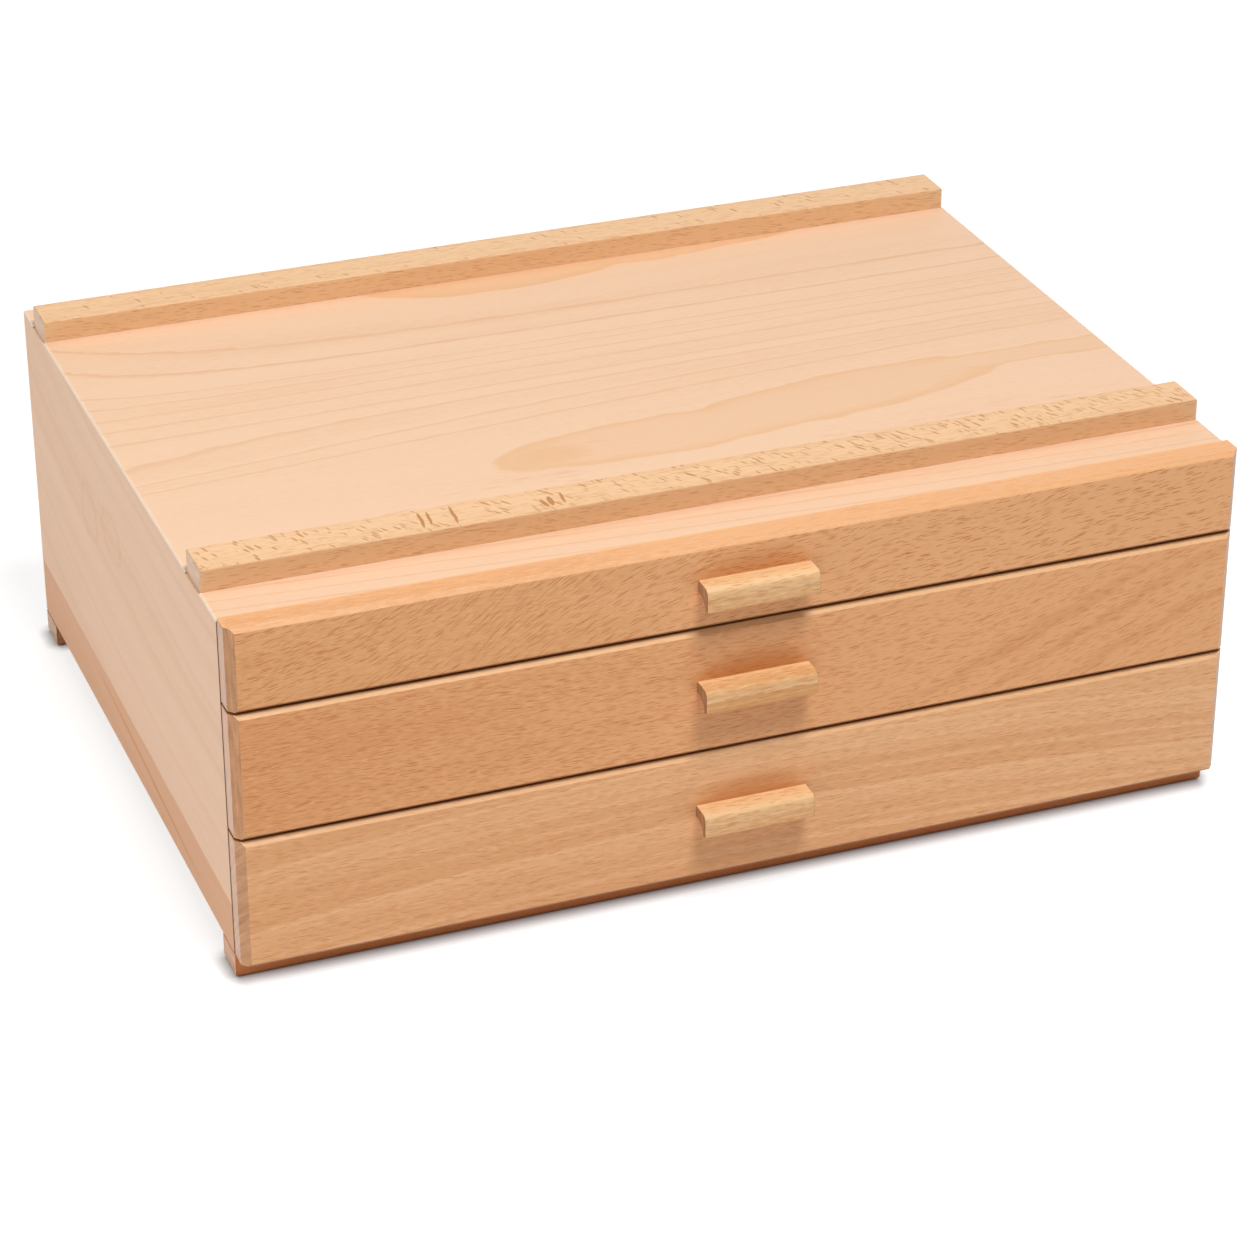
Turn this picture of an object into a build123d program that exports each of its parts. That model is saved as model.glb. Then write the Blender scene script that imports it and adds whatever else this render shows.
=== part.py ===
"""Three-drawer desktop organizer in beech, as separate pieces in millimetres.

X runs along the front from left to right, Y from the front to the back, and Z up from the table.
The origin is on the table, under the middle of the whole organizer with its pulls.
"""

import os
from dataclasses import dataclass

from build123d import *

os.makedirs("parts", exist_ok=True)

# Case
case_width = 400.0
case_depth = 289.0
board_thickness = 9.0
board_arris = 0.8
back_thickness = 4.0
back_rabbet = 5.0
spline_width = 6.0
spline_thickness = 2.0
spline_offset = 3.2
spline_front_stop = 6.0

# Foot rails under the case and cleats on its top
foot_height = 10.0
foot_depth = 16.0
foot_round = 1.6
cleat_height = 9.0
cleat_depth = 18.0
cleat_round = 0.8
cleat_end_inset = 0.8
cleat_housing = 1.0
front_strip = 23.0
stack_clearance = 0.5

# Drawer fronts
upper_front_height = 33.5
middle_front_height = 51.0
lower_front_height = 53.0
front_thickness = 11.0
front_seam = 1.25
front_proud = 1.8
front_toe_gap = 0.8
front_gap = 0.6
end_bevel_width = 3.2
end_bevel_depth = 3.6
top_chamfer = 1.7
foot_chamfer = 1.2
front_ease = 0.4

# Drawer boxes behind the fronts
side_thickness = 9.0
side_drop = 4.0
box_floor_gap = 1.0
box_head_room = 1.5
box_edge_round = 0.6
box_back_thickness = 8.0
box_back_setback = 6.0
bottom_thickness = 3.0
bottom_rise = 3.0
groove_depth = 2.2
groove_web = 2.8
tongue_length = 5.0
tongue_margin = 0.8

# Runners on the case sides
runner_height = 7.0
runner_front_stop = 6.0
runner_rear_gap = 2.0

# Pulls
handle_length = 45.0
handle_depth = 9.0
handle_height = 9.5
handle_seat = 4.4
handle_lip = 1.6
handle_round = 2.8
handle_lip_round = 0.6
handle_end_round = 0.6
upper_handle_drop = 1.4

# Screws and brads
screw_diameter = 3.0
screw_head = 5.8
screw_tip_cover = 2.2
screw_end_margin = 30.0
cleat_screw_count = 4
foot_screw_count = 4
foot_screw_recess = 1.0
runner_screw_count = 3
handle_screw_diameter = 2.4
handle_screw_head = 5.0
handle_screw_rise = 1.8
handle_screw_spacing = 28.0
recess_width = 0.7
recess_depth = 0.9
recess_reach = 3.2
brad_diameter = 1.4
brad_bite = 8.0
back_brad_columns = 5
back_brad_rows = 3
bottom_brad_count = 3
brad_end_margin = 40.0

# Clearances
fit_clearance = 0.1
drill_clearance = 0.05
slide_clearance = 0.2
runner_slack = 0.4
drawer_side_play = 1.0
drawer_rear_play = 0.5

# Heights, from the table up
front_stack = upper_front_height + middle_front_height + lower_front_height + 2 * front_seam
case_height = front_toe_gap + front_stack - front_proud
case_foot_z = foot_height
case_top_z = case_foot_z + case_height
case_middle_z = case_foot_z + case_height / 2
inner_foot_z = case_foot_z + board_thickness
inner_top_z = case_top_z - board_thickness
lower_front_z = case_foot_z + front_toe_gap
middle_front_z = lower_front_z + lower_front_height + front_seam
upper_front_z = middle_front_z + middle_front_height + front_seam

# Widths
inner_width = case_width - 2 * board_thickness
inner_height = case_height - 2 * board_thickness
box_half_width = inner_width / 2 - drawer_side_play
side_x = box_half_width - side_thickness / 2
box_inner_width = 2 * (box_half_width - side_thickness)
bottom_width = box_inner_width + 2 * (groove_depth - fit_clearance)
runner_groove = side_thickness - groove_depth - groove_web
runner_thickness = drawer_side_play + runner_groove - runner_slack
runner_face_x = inner_width / 2 - runner_thickness
tongue_thickness = side_thickness - 2 * (groove_depth + tongue_margin)

# Depths, from the back to the front
rear_y = (case_depth + front_gap + front_thickness + handle_depth) / 2
back_face_y = rear_y - back_thickness
case_front_y = rear_y - case_depth
front_back_y = case_front_y - front_gap
front_face_y = front_back_y - front_thickness
pull_y = front_face_y - handle_depth
box_rear_y = back_face_y - drawer_rear_play
box_back_y = box_rear_y - box_back_setback - box_back_thickness / 2
rear_cleat_y = rear_y - foot_depth - stack_clearance - cleat_depth / 2
front_cleat_y = case_front_y + front_strip + cleat_depth / 2
rear_foot_y = rear_y - foot_depth / 2
front_foot_y = case_front_y + foot_depth / 2
runner_front_y = case_front_y + runner_front_stop
runner_rear_y = back_face_y - runner_rear_gap

# Screw lengths, from the wood that they pass through
cleat_screw_length = board_thickness + cleat_height - screw_tip_cover
foot_screw_length = foot_height + board_thickness - foot_screw_recess - screw_tip_cover
runner_screw_length = runner_thickness + board_thickness - screw_tip_cover
handle_screw_length = front_thickness + handle_depth - screw_tip_cover
back_brad_length = back_thickness + brad_bite
bottom_brad_length = bottom_thickness + brad_bite


@dataclass
class Drawer:
    """Heights of one drawer: the foot and height of its front, and the foot and top of its box."""

    name: str
    front_z: float
    front_height: float
    box_z: float
    box_top: float
    handle_drop: float

    @property
    def box_height(self):
        return self.box_top - self.box_z

    @property
    def box_middle(self):
        return (self.box_z + self.box_top) / 2

    @property
    def bottom_middle(self):
        return self.box_z + bottom_rise + bottom_thickness / 2

    @property
    def bottom_face(self):
        return self.box_z + bottom_rise + bottom_thickness

    @property
    def handle_foot(self):
        return self.front_z + (self.front_height - handle_height) / 2 - self.handle_drop

    @property
    def handle_top(self):
        return self.handle_foot + handle_height


drawers = [
    Drawer(
        "upper",
        upper_front_z,
        upper_front_height,
        upper_front_z + box_floor_gap,
        inner_top_z - box_head_room,
        upper_handle_drop,
    ),
    Drawer(
        "middle",
        middle_front_z,
        middle_front_height,
        middle_front_z + box_floor_gap,
        middle_front_z + middle_front_height - side_drop,
        0.0,
    ),
    Drawer(
        "lower",
        lower_front_z,
        lower_front_height,
        inner_foot_z + box_floor_gap,
        lower_front_z + lower_front_height - side_drop,
        0.0,
    ),
]
sides = {"left": -1, "right": 1}


def save(piece, label):
    """Label a finished piece and write it to its own file."""
    piece.label = label
    export_step(piece, f"parts/{label}.step")


def spread(start, end, count):
    """Evenly spaced values from start to end."""
    return [start + (end - start) * index / (count - 1) for index in range(count)]


# Places of the screws and brads: the origin is at the head, and Z points out of the wood
cleat_screw_places = [
    Plane(origin=(x, y, inner_top_z), z_dir=(0, 0, -1))
    for y in (front_cleat_y, rear_cleat_y)
    for x in spread(screw_end_margin - case_width / 2, case_width / 2 - screw_end_margin, cleat_screw_count)
]
foot_screw_places = [
    Plane(origin=(x, y, foot_screw_recess), z_dir=(0, 0, -1))
    for y in (front_foot_y, rear_foot_y)
    for x in spread(screw_end_margin - case_width / 2, case_width / 2 - screw_end_margin, foot_screw_count)
]
runner_screw_places = [
    Plane(origin=(sign * runner_face_x, y, drawer.box_middle), z_dir=(-sign, 0, 0))
    for sign in sides.values()
    for drawer in drawers
    for y in spread(runner_front_y + screw_end_margin, runner_rear_y - screw_end_margin, runner_screw_count)
]
brad_x = (inner_width + back_rabbet) / 2
brad_z = (inner_height + back_rabbet) / 2
back_brad_points = [
    (x, case_middle_z + end * brad_z)
    for end in (-1, 1)
    for x in spread(brad_end_margin - case_width / 2, case_width / 2 - brad_end_margin, back_brad_columns)
] + [
    (sign * brad_x, z)
    for sign in sides.values()
    for z in spread(case_foot_z + brad_end_margin, case_top_z - brad_end_margin, back_brad_rows)
]
back_brad_places = [Plane(origin=(x, rear_y, z), z_dir=(0, 1, 0)) for x, z in back_brad_points]


def handle_screw_places(drawer):
    """The two screws of a pull, driven from inside the drawer into the upper half of the pull."""
    z = drawer.handle_top - handle_seat / 2
    reach = handle_screw_spacing / 2
    return [Plane(origin=(x, front_back_y, z), z_dir=(0, 1, 0)) for x in (-reach, reach)]


def bottom_brad_places(drawer):
    """The brads that go up through a drawer's bottom into its back."""
    reach = box_inner_width / 2 - brad_end_margin
    z = drawer.box_z + bottom_rise
    return [Plane(origin=(x, box_back_y, z), z_dir=(0, 0, -1)) for x in spread(-reach, reach, bottom_brad_count)]


def drill_screws(places, length):
    """Countersunk screw holes in the part being built."""
    with Locations(*places):
        CounterSinkHole(
            screw_diameter / 2 + drill_clearance,
            screw_head / 2 + drill_clearance,
            depth=length + drill_clearance,
            counter_sink_angle=90,
        )


def drill_brads(places, length):
    """Plain brad holes in the part being built."""
    with Locations(*places):
        Hole(brad_diameter / 2 + drill_clearance, depth=length + drill_clearance)


def cut_cross_recess(top):
    """The cross recess for a screwdriver in the head of the screw being built."""
    with Locations((0, 0, top)):
        Box(recess_reach, recess_width, 2 * recess_depth, mode=Mode.SUBTRACT)
        Box(recess_width, recess_reach, 2 * recess_depth, mode=Mode.SUBTRACT)


def countersunk_screw(length):
    """A wood screw along -Z with its flat head at the origin."""
    head, shank = screw_head / 2, screw_diameter / 2
    with BuildPart() as screw:
        with BuildSketch(Plane.XZ):
            with BuildLine():
                Polyline(
                    (0, 0),
                    (head, 0),
                    (shank, shank - head),
                    (shank, shank - length),
                    (0, -length),
                    close=True,
                )
            make_face()
        revolve(axis=Axis.Z)
        cut_cross_recess(0)
    return screw.part


def pan_head_screw():
    """A pull's screw along -Z, with a domed head that stands on the wood at the origin."""
    head, shank, rise = handle_screw_head / 2, handle_screw_diameter / 2, handle_screw_rise
    with BuildPart() as screw:
        with BuildSketch(Plane.XZ):
            with BuildLine():
                EllipticalCenterArc((0, 0), head, rise, start_angle=0, arc_size=90)
                Polyline(
                    (0, rise),
                    (0, -handle_screw_length),
                    (shank, shank - handle_screw_length),
                    (shank, 0),
                    (head, 0),
                )
            make_face()
        revolve(axis=Axis.Z)
        cut_cross_recess(rise)
    return screw.part


def brad(length):
    """A headless brad along -Z."""
    with BuildPart() as nail:
        Cylinder(brad_diameter / 2, length, align=(Align.CENTER, Align.CENTER, Align.MAX))
    return nail.part


def save_group(fastener, places, label):
    """Write one group of like fasteners, each standing at its place."""
    with BuildPart() as group:
        with Locations(*places):
            add(fastener)
    save(group.part, label)


# Case boards: the wall of a box, parted at its mitres
case_rear = Plane(origin=(0, rear_y, case_middle_z), x_dir=(1, 0, 0), z_dir=(0, -1, 0))
case_shoulder = case_rear.offset(back_thickness)
spline_length = case_depth - back_thickness - spline_front_stop
corner_signs = [(-1, 1), (1, 1), (1, -1), (-1, -1)]
board_names = ["top_board", "right_side_board", "bottom_board", "left_side_board"]


def corner(signs, width, height):
    """One corner of a rectangle about the middle of the case."""
    return (signs[0] * width / 2, signs[1] * height / 2)


def spline_place(signs):
    """The middle of the spline in one mitre, and its turn."""
    place = corner(signs, inner_width + 2 * spline_offset, inner_height + 2 * spline_offset)
    return Location((*place, 0), (0, 0, -45 * signs[0] * signs[1]))


def case_board(start, end):
    """The mitred board between two neighbouring corners of the case."""
    with BuildPart() as board:
        with BuildSketch(case_rear):
            RectangleRounded(case_width, case_height, board_arris)
            Rectangle(inner_width, inner_height, mode=Mode.SUBTRACT)
            with BuildLine():
                Polyline(
                    corner(start, case_width, case_height),
                    corner(end, case_width, case_height),
                    corner(end, inner_width, inner_height),
                    corner(start, inner_width, inner_height),
                    close=True,
                )
            make_face(mode=Mode.INTERSECT)
        extrude(amount=case_depth)
        with BuildSketch(case_rear):
            Rectangle(inner_width + 2 * back_rabbet, inner_height + 2 * back_rabbet)
        extrude(amount=back_thickness, mode=Mode.SUBTRACT)
        with BuildSketch(case_shoulder):
            with Locations(spline_place(start), spline_place(end)):
                Rectangle(spline_width + 2 * fit_clearance, spline_thickness + 2 * fit_clearance)
        extrude(amount=spline_length + fit_clearance, mode=Mode.SUBTRACT)
        with Locations((0, front_cleat_y, case_top_z), (0, rear_cleat_y, case_top_z)):
            Box(case_width, cleat_depth + 2 * fit_clearance, 2 * cleat_housing, mode=Mode.SUBTRACT)
        drill_screws(cleat_screw_places, cleat_screw_length)
        drill_screws(foot_screw_places, foot_screw_length)
        drill_screws(runner_screw_places, runner_screw_length)
        drill_brads(back_brad_places, back_brad_length)
    return board.part


for index, label in enumerate(board_names):
    save(case_board(corner_signs[index], corner_signs[(index + 1) % len(corner_signs)]), label)

with BuildPart() as mitre_splines:
    with BuildSketch(case_shoulder):
        with Locations(*[spline_place(signs) for signs in corner_signs]):
            Rectangle(spline_width, spline_thickness)
    extrude(amount=spline_length)
save(mitre_splines.part, "mitre_splines")

# Plywood back in the rabbet
with BuildPart() as back_panel:
    with BuildSketch(case_rear):
        Rectangle(
            inner_width + 2 * (back_rabbet - fit_clearance),
            inner_height + 2 * (back_rabbet - fit_clearance),
        )
    extrude(amount=back_thickness)
    drill_brads(back_brad_places, back_brad_length)
save(back_panel.part, "back_panel")
save_group(brad(back_brad_length), back_brad_places, "back_panel_brads")


def top_cleat(y):
    """A cleat across the top, seated in its shallow housing."""
    with BuildPart() as cleat:
        with BuildSketch(Plane.XY.offset(case_top_z - cleat_housing)):
            with Locations((0, y)):
                Rectangle(case_width - 2 * cleat_end_inset, cleat_depth)
        extrude(amount=cleat_housing + cleat_height)
        fillet(cleat.faces().sort_by(Axis.Z)[-1].edges(), cleat_round)
        drill_screws(cleat_screw_places, cleat_screw_length)
    return cleat.part


def foot_rail(y):
    """A rail across the underside of the case, with its lower edges rounded."""
    with BuildPart() as rail:
        with BuildSketch():
            with Locations((0, y)):
                Rectangle(case_width, foot_depth)
        extrude(amount=foot_height)
        fillet(rail.faces().sort_by(Axis.Z)[0].edges(), foot_round)
        drill_screws(foot_screw_places, foot_screw_length)
    return rail.part


save(top_cleat(front_cleat_y), "front_cleat")
save(top_cleat(rear_cleat_y), "rear_cleat")
save_group(countersunk_screw(cleat_screw_length), cleat_screw_places, "cleat_screws")
save(foot_rail(front_foot_y), "front_foot_rail")
save(foot_rail(rear_foot_y), "rear_foot_rail")
save_group(countersunk_screw(foot_screw_length), foot_screw_places, "foot_rail_screws")


def case_runner(drawer, sign):
    """A strip on the inside of a case side, which one drawer's side groove slides on."""
    with BuildPart() as runner:
        with BuildSketch(Plane.XY.offset(drawer.box_middle - runner_height / 2)):
            with Locations((sign * (inner_width - runner_thickness) / 2, (runner_front_y + runner_rear_y) / 2)):
                Rectangle(runner_thickness, runner_rear_y - runner_front_y)
        extrude(amount=runner_height)
        drill_screws(runner_screw_places, runner_screw_length)
    return runner.part


for drawer in drawers:
    for side, sign in sides.items():
        save(case_runner(drawer, sign), f"{drawer.name}_{side}_runner")
save_group(countersunk_screw(runner_screw_length), runner_screw_places, "runner_screws")


def drawer_front(drawer):
    """A front that covers the case's edge, with bevelled ends and housings for the box behind it."""
    half = case_width / 2
    with BuildPart() as front:
        with BuildSketch(Plane.XY.offset(drawer.front_z)):
            with BuildLine():
                Polyline(
                    (0, front_back_y),
                    (half, front_back_y),
                    (half, front_face_y + end_bevel_depth),
                    (half - end_bevel_width, front_face_y),
                    (0, front_face_y),
                )
                mirror(about=Plane.YZ)
            make_face()
        extrude(amount=drawer.front_height)
        foot_edge, top_edge = front.edges().filter_by(Axis.X).group_by(Axis.Y)[0].sort_by(Axis.Z)
        chamfer(foot_edge, foot_chamfer)
        chamfer(top_edge, top_chamfer)
        fillet(front.faces().sort_by(Axis.Y)[0].edges(), front_ease)
        with Locations((-side_x, front_back_y, drawer.box_middle), (side_x, front_back_y, drawer.box_middle)):
            Box(
                tongue_thickness + 2 * fit_clearance,
                2 * (tongue_length + fit_clearance),
                drawer.box_height + 2 * fit_clearance,
                mode=Mode.SUBTRACT,
            )
        with Locations((0, front_back_y, drawer.bottom_middle)):
            Box(
                bottom_width + 2 * fit_clearance,
                2 * groove_depth,
                bottom_thickness + 2 * fit_clearance,
                mode=Mode.SUBTRACT,
            )
        with Locations(*handle_screw_places(drawer)):
            Hole(handle_screw_diameter / 2 + drill_clearance, depth=handle_screw_length)
    return front.part


def drawer_side(drawer, sign):
    """A drawer side: runner groove outside, bottom groove and back housing inside, tongue in front."""
    section = Plane(origin=(sign * side_x, box_rear_y, 0), x_dir=(1, 0, 0), z_dir=(0, -1, 0))
    inner_groove_x = -sign * (side_thickness - groove_depth) / 2
    with BuildPart() as side:
        with BuildSketch(section):
            with Locations((0, drawer.box_middle)):
                Rectangle(side_thickness, drawer.box_height)
            with Locations((inner_groove_x, drawer.bottom_middle)):
                Rectangle(groove_depth, bottom_thickness + 2 * fit_clearance, mode=Mode.SUBTRACT)
            runner_groove_x = sign * (side_thickness - runner_groove) / 2
            with Locations((runner_groove_x, drawer.box_middle + (slide_clearance - runner_slack) / 2)):
                Rectangle(runner_groove, runner_height + slide_clearance + runner_slack, mode=Mode.SUBTRACT)
        extrude(amount=box_rear_y - front_back_y)
        fillet(side.faces().sort_by(Axis.Z)[-1].edges().filter_by(Axis.Y), box_edge_round)
        with Locations((sign * side_x, front_back_y - tongue_length / 2, drawer.box_middle)):
            Box(tongue_thickness, tongue_length, drawer.box_height)
        with Locations((sign * side_x + inner_groove_x, box_back_y, drawer.bottom_face)):
            Box(
                groove_depth,
                box_back_thickness + 2 * fit_clearance,
                drawer.box_top - drawer.bottom_face,
                align=(Align.CENTER, Align.CENTER, Align.MIN),
                mode=Mode.SUBTRACT,
            )
    return side.part


def drawer_back(drawer):
    """The back of a drawer box, standing on the bottom and housed in both sides."""
    foot = drawer.bottom_face + fit_clearance
    with BuildPart() as back:
        with BuildSketch(Plane.XY.offset(foot)):
            with Locations((0, box_back_y)):
                Rectangle(bottom_width, box_back_thickness)
        extrude(amount=drawer.box_top - foot)
        fillet(back.faces().sort_by(Axis.Z)[-1].edges().filter_by(Axis.X), box_edge_round)
        drill_brads(bottom_brad_places(drawer), bottom_brad_length)
    return back.part


def drawer_bottom(drawer):
    """The thin plywood bottom of a drawer, from the groove in its front to the rear of its back."""
    start = front_back_y - groove_depth + fit_clearance
    end = box_back_y + box_back_thickness / 2
    with BuildPart() as bottom:
        with BuildSketch(Plane.XY.offset(drawer.box_z + bottom_rise)):
            with Locations((0, (start + end) / 2)):
                Rectangle(bottom_width, end - start)
        extrude(amount=bottom_thickness)
        drill_brads(bottom_brad_places(drawer), bottom_brad_length)
    return bottom.part


def drawer_handle(drawer):
    """A bar pull with a rounded upper edge and a finger cove under it."""
    foot, top = drawer.handle_foot, drawer.handle_top
    with BuildPart() as handle:
        with BuildSketch(Plane.YZ.offset(-handle_length / 2)):
            with BuildLine():
                FilletPolyline(
                    (front_face_y, top),
                    (pull_y, top),
                    (pull_y, foot),
                    (pull_y + handle_lip, foot),
                    radius=[handle_round, handle_lip_round],
                )
                EllipticalCenterArc(
                    (front_face_y, foot),
                    handle_depth - handle_lip,
                    handle_height - handle_seat,
                    start_angle=90,
                    arc_size=90,
                )
                Line((front_face_y, top - handle_seat), (front_face_y, top))
            make_face()
        extrude(amount=handle_length)
        end_edges = handle.faces().filter_by(Axis.X).edges()
        seat_edges = end_edges.filter_by(Axis.Z).group_by(Axis.Y)[-1]
        cove_edges = end_edges.filter_by(GeomType.ELLIPSE)
        fillet(end_edges - seat_edges - cove_edges, handle_end_round)
        with Locations(*handle_screw_places(drawer)):
            Hole(handle_screw_diameter / 2 + drill_clearance, depth=handle_screw_length + drill_clearance)
    return handle.part


for drawer in drawers:
    prefix = f"{drawer.name}_drawer"
    save(drawer_front(drawer), f"{prefix}_front")
    for side, sign in sides.items():
        save(drawer_side(drawer, sign), f"{prefix}_{side}_side")
    save(drawer_back(drawer), f"{prefix}_back")
    save(drawer_bottom(drawer), f"{prefix}_bottom")
    save_group(brad(bottom_brad_length), bottom_brad_places(drawer), f"{prefix}_bottom_brads")
    save(drawer_handle(drawer), f"{prefix}_handle")
    save_group(pan_head_screw(), handle_screw_places(drawer), f"{prefix}_handle_screws")
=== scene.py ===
"""Finishes, stage and camera for a three-drawer beech desktop organizer.

Every piece keeps its solid and gets the finish of its own board: growth rings, streaks, pores, end grain and
eased edges, worked out in the board's own space with X along the grain.
"""

from dataclasses import dataclass
from functools import partial

import bpy
from bpy.props import FloatProperty, FloatVectorProperty, PointerProperty
from mathutils import Matrix, Vector


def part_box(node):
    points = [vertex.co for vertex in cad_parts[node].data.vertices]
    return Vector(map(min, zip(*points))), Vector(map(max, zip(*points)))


bl_info = {
    "name": "Beech Drawer Organizer",
    "version": (1, 0, 0),
    "blender": (4, 5, 0),
    "location": "3D View > Sidebar > Organizer",
    "description": "Finishes the boards, drawers and pulls of a beech organizer and sets its stage",
    "category": "Object",
}

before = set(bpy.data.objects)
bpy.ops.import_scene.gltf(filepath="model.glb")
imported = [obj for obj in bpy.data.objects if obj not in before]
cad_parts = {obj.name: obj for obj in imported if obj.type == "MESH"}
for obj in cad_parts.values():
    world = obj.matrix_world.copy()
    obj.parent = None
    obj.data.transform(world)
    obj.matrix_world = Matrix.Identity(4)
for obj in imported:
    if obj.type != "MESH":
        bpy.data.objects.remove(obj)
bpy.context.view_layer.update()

drawer_names = ("upper", "middle", "lower")
side_names = ("left", "right")
half_case_width = 0.2
white = (1.0, 1.0, 1.0)


def colour(name, description, default):
    """A colour that a user can change."""
    return FloatVectorProperty(
        name=name, description=description, subtype="COLOR", size=3, min=0.0, max=1.0, default=default
    )


def number(name, description, default, **options):
    """A value from nothing up that a user can change."""
    return FloatProperty(name=name, description=description, min=0.0, default=default, **options)


length = partial(number, unit="LENGTH", precision=5)
share = partial(number, subtype="FACTOR", max=1.0)
power = partial(number, subtype="POWER")


class CaseFinish(bpy.types.PropertyGroup):
    """Tones of the case boards."""

    top_pale: colour("Top pale", "Pale wood of the top board", (0.86, 0.578, 0.385))
    top_deep: colour("Top deep", "Growth lines of the top board", (0.785, 0.468, 0.272))
    top_figure: colour("Top figure", "Heart figure of the top board", (0.80, 0.47, 0.25))
    side_pale: colour("Side pale", "Pale wood of the side boards", (0.86, 0.56, 0.37))
    side_deep: colour("Side deep", "Growth lines of the side boards", (0.80, 0.49, 0.30))
    side_figure: colour("Side figure", "Heart band along the foot of the sides", (0.66, 0.27, 0.085))
    pore: colour("Pore", "Pores of the case boards", (0.62, 0.30, 0.10))
    # The edge tone is partly a painted highlight along the arrises, strongest on the side boards
    edge: colour("Edge", "Eased edges of the case boards", (0.95, 0.82, 0.68))
    end: colour("End grain", "End grain of the case boards", (0.40, 0.20, 0.10))
    ring_width: length("Ring width", "Usual distance between growth lines of the case boards", 0.0058)
    roughness: share("Roughness", "Roughness of the oiled boards", 0.42)


class RailFinish(bpy.types.PropertyGroup):
    """Tones of the cleats and the foot rails."""

    pale: colour("Pale", "Pale wood of the cleats", (0.86, 0.552, 0.312))
    deep: colour("Deep", "Darker growth of the cleats", (0.80, 0.475, 0.244))
    pore: colour("Pore", "Ray flecks and pores of the cleats", (0.46, 0.17, 0.03))
    edge: colour("Edge", "Eased edges of the cleats", (0.88, 0.66, 0.45))
    end: colour("End grain", "End grain of the cleats", (0.56, 0.36, 0.22))
    # The foot rails are the same beech as the case: these darker tones are painted shade, deepest on the front rail
    # under the overhanging fronts
    foot_pale: colour("Foot pale", "Pale wood of the front foot rail", (0.80, 0.31, 0.115))
    foot_deep: colour("Foot deep", "Darker growth of the front foot rail", (0.67, 0.235, 0.08))
    rear_pale: colour("Rear foot pale", "Pale wood of the rear foot rail", (0.60, 0.29, 0.13))
    rear_deep: colour("Rear foot deep", "Darker growth of the rear foot rail", (0.52, 0.23, 0.09))
    fleck_length: length("Fleck length", "Length of a ray fleck across a cleat", 0.004)
    roughness: share("Roughness", "Roughness of the oiled cleats and rails", 0.42)


class FrontFinish(bpy.types.PropertyGroup):
    """Tones of the drawer fronts."""

    upper_pale: colour("Upper pale", "Pale wood of the upper front", (0.853, 0.444, 0.208))
    upper_deep: colour("Upper deep", "Darker growth of the upper front", (0.761, 0.365, 0.152))
    middle_pale: colour("Middle pale", "Pale wood of the middle front", (0.848, 0.434, 0.202))
    middle_deep: colour("Middle deep", "Darker growth of the middle front", (0.757, 0.349, 0.145))
    lower_pale: colour("Lower pale", "Pale wood of the lower front", (0.905, 0.523, 0.275))
    lower_deep: colour("Lower deep", "Darker growth of the lower front", (0.787, 0.40, 0.185))
    figure: colour("Figure", "Bands across the middle front", (0.63, 0.255, 0.085))
    pore: colour("Pore", "Pores of the drawer fronts", (0.49, 0.125, 0.012))
    # The edge tone paints the highlight on the upward chamfers, and in part a highlight along the eased edges
    edge: colour("Edge", "Eased edges of the drawer fronts", (0.95, 0.63, 0.34))
    end: colour("End grain", "End grain of the drawer fronts", (0.53, 0.28, 0.155))
    pore_length: length("Pore length", "Length of a pore in the drawer fronts", 0.0042)
    roughness: share("Roughness", "Roughness of the oiled fronts", 0.32)


class HandleFinish(bpy.types.PropertyGroup):
    """Tones of the pulls."""

    pale: colour("Pale", "Pale wood of the pulls", (0.87, 0.565, 0.30))
    deep: colour("Deep", "Darker growth of the pulls", (0.71, 0.355, 0.14))
    pore: colour("Pore", "Pores of the pulls", (0.56, 0.18, 0.01))
    edge: colour("Edge", "Eased edges of the pulls", (0.90, 0.58, 0.30))
    end: colour("End grain", "End grain of the pulls", (0.30, 0.12, 0.03))
    roughness: share("Roughness", "Roughness of the oiled pulls", 0.34)


class BoxFinish(bpy.types.PropertyGroup):
    """Tones of what lies inside the case."""

    pale: colour("Pale", "Pale wood of the drawer boxes", (0.76, 0.54, 0.35))
    deep: colour("Deep", "Darker growth of the drawer boxes", (0.68, 0.45, 0.27))
    pore: colour("Pore", "Pores of the drawer boxes", (0.42, 0.23, 0.11))
    edge: colour("Edge", "Eased edges of the drawer boxes", (0.84, 0.64, 0.45))
    end: colour("End grain", "End grain of the drawer boxes", (0.52, 0.33, 0.19))
    plywood_pale: colour("Plywood pale", "Face of the plywood", (0.78, 0.58, 0.39))
    plywood_deep: colour("Plywood deep", "Cross layers and figure of the plywood", (0.66, 0.45, 0.28))
    ply: length("Ply", "Thickness of one layer of the plywood", 0.001)
    roughness: share("Roughness", "Roughness of the sanded drawer boxes", 0.55)
    runner_roughness: share("Runner roughness", "Roughness of the runners", 0.5)


class FastenerFinish(bpy.types.PropertyGroup):
    """Finish of the screws and brads."""

    steel: colour("Steel", "Bright steel of the screws and brads", (0.62, 0.62, 0.60))
    tarnish: colour("Tarnish", "Dull spots on the steel", (0.36, 0.35, 0.33))


class StageSettings(bpy.types.PropertyGroup):
    """Floor, light and camera."""

    floor_tone: share("Floor tone", "Grey of the floor as it lights the organizer", 0.9)
    contact_reach: length("Contact reach", "How far the contact shadow of a foot rail reaches", 0.006)
    sky: number("Sky", "Strength of the even light from all around", 0.15)
    key_power: power("Key", "Power of the large light above the front", 41.0)
    side_power: power("Side", "Power of the soft light on the left", 8.7)
    rear_power: power("Rear", "Power of the soft light above the back", 9.0)
    focal_length: number("Focal length", "Focal length of the camera", 112.53, unit="CAMERA")


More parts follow.
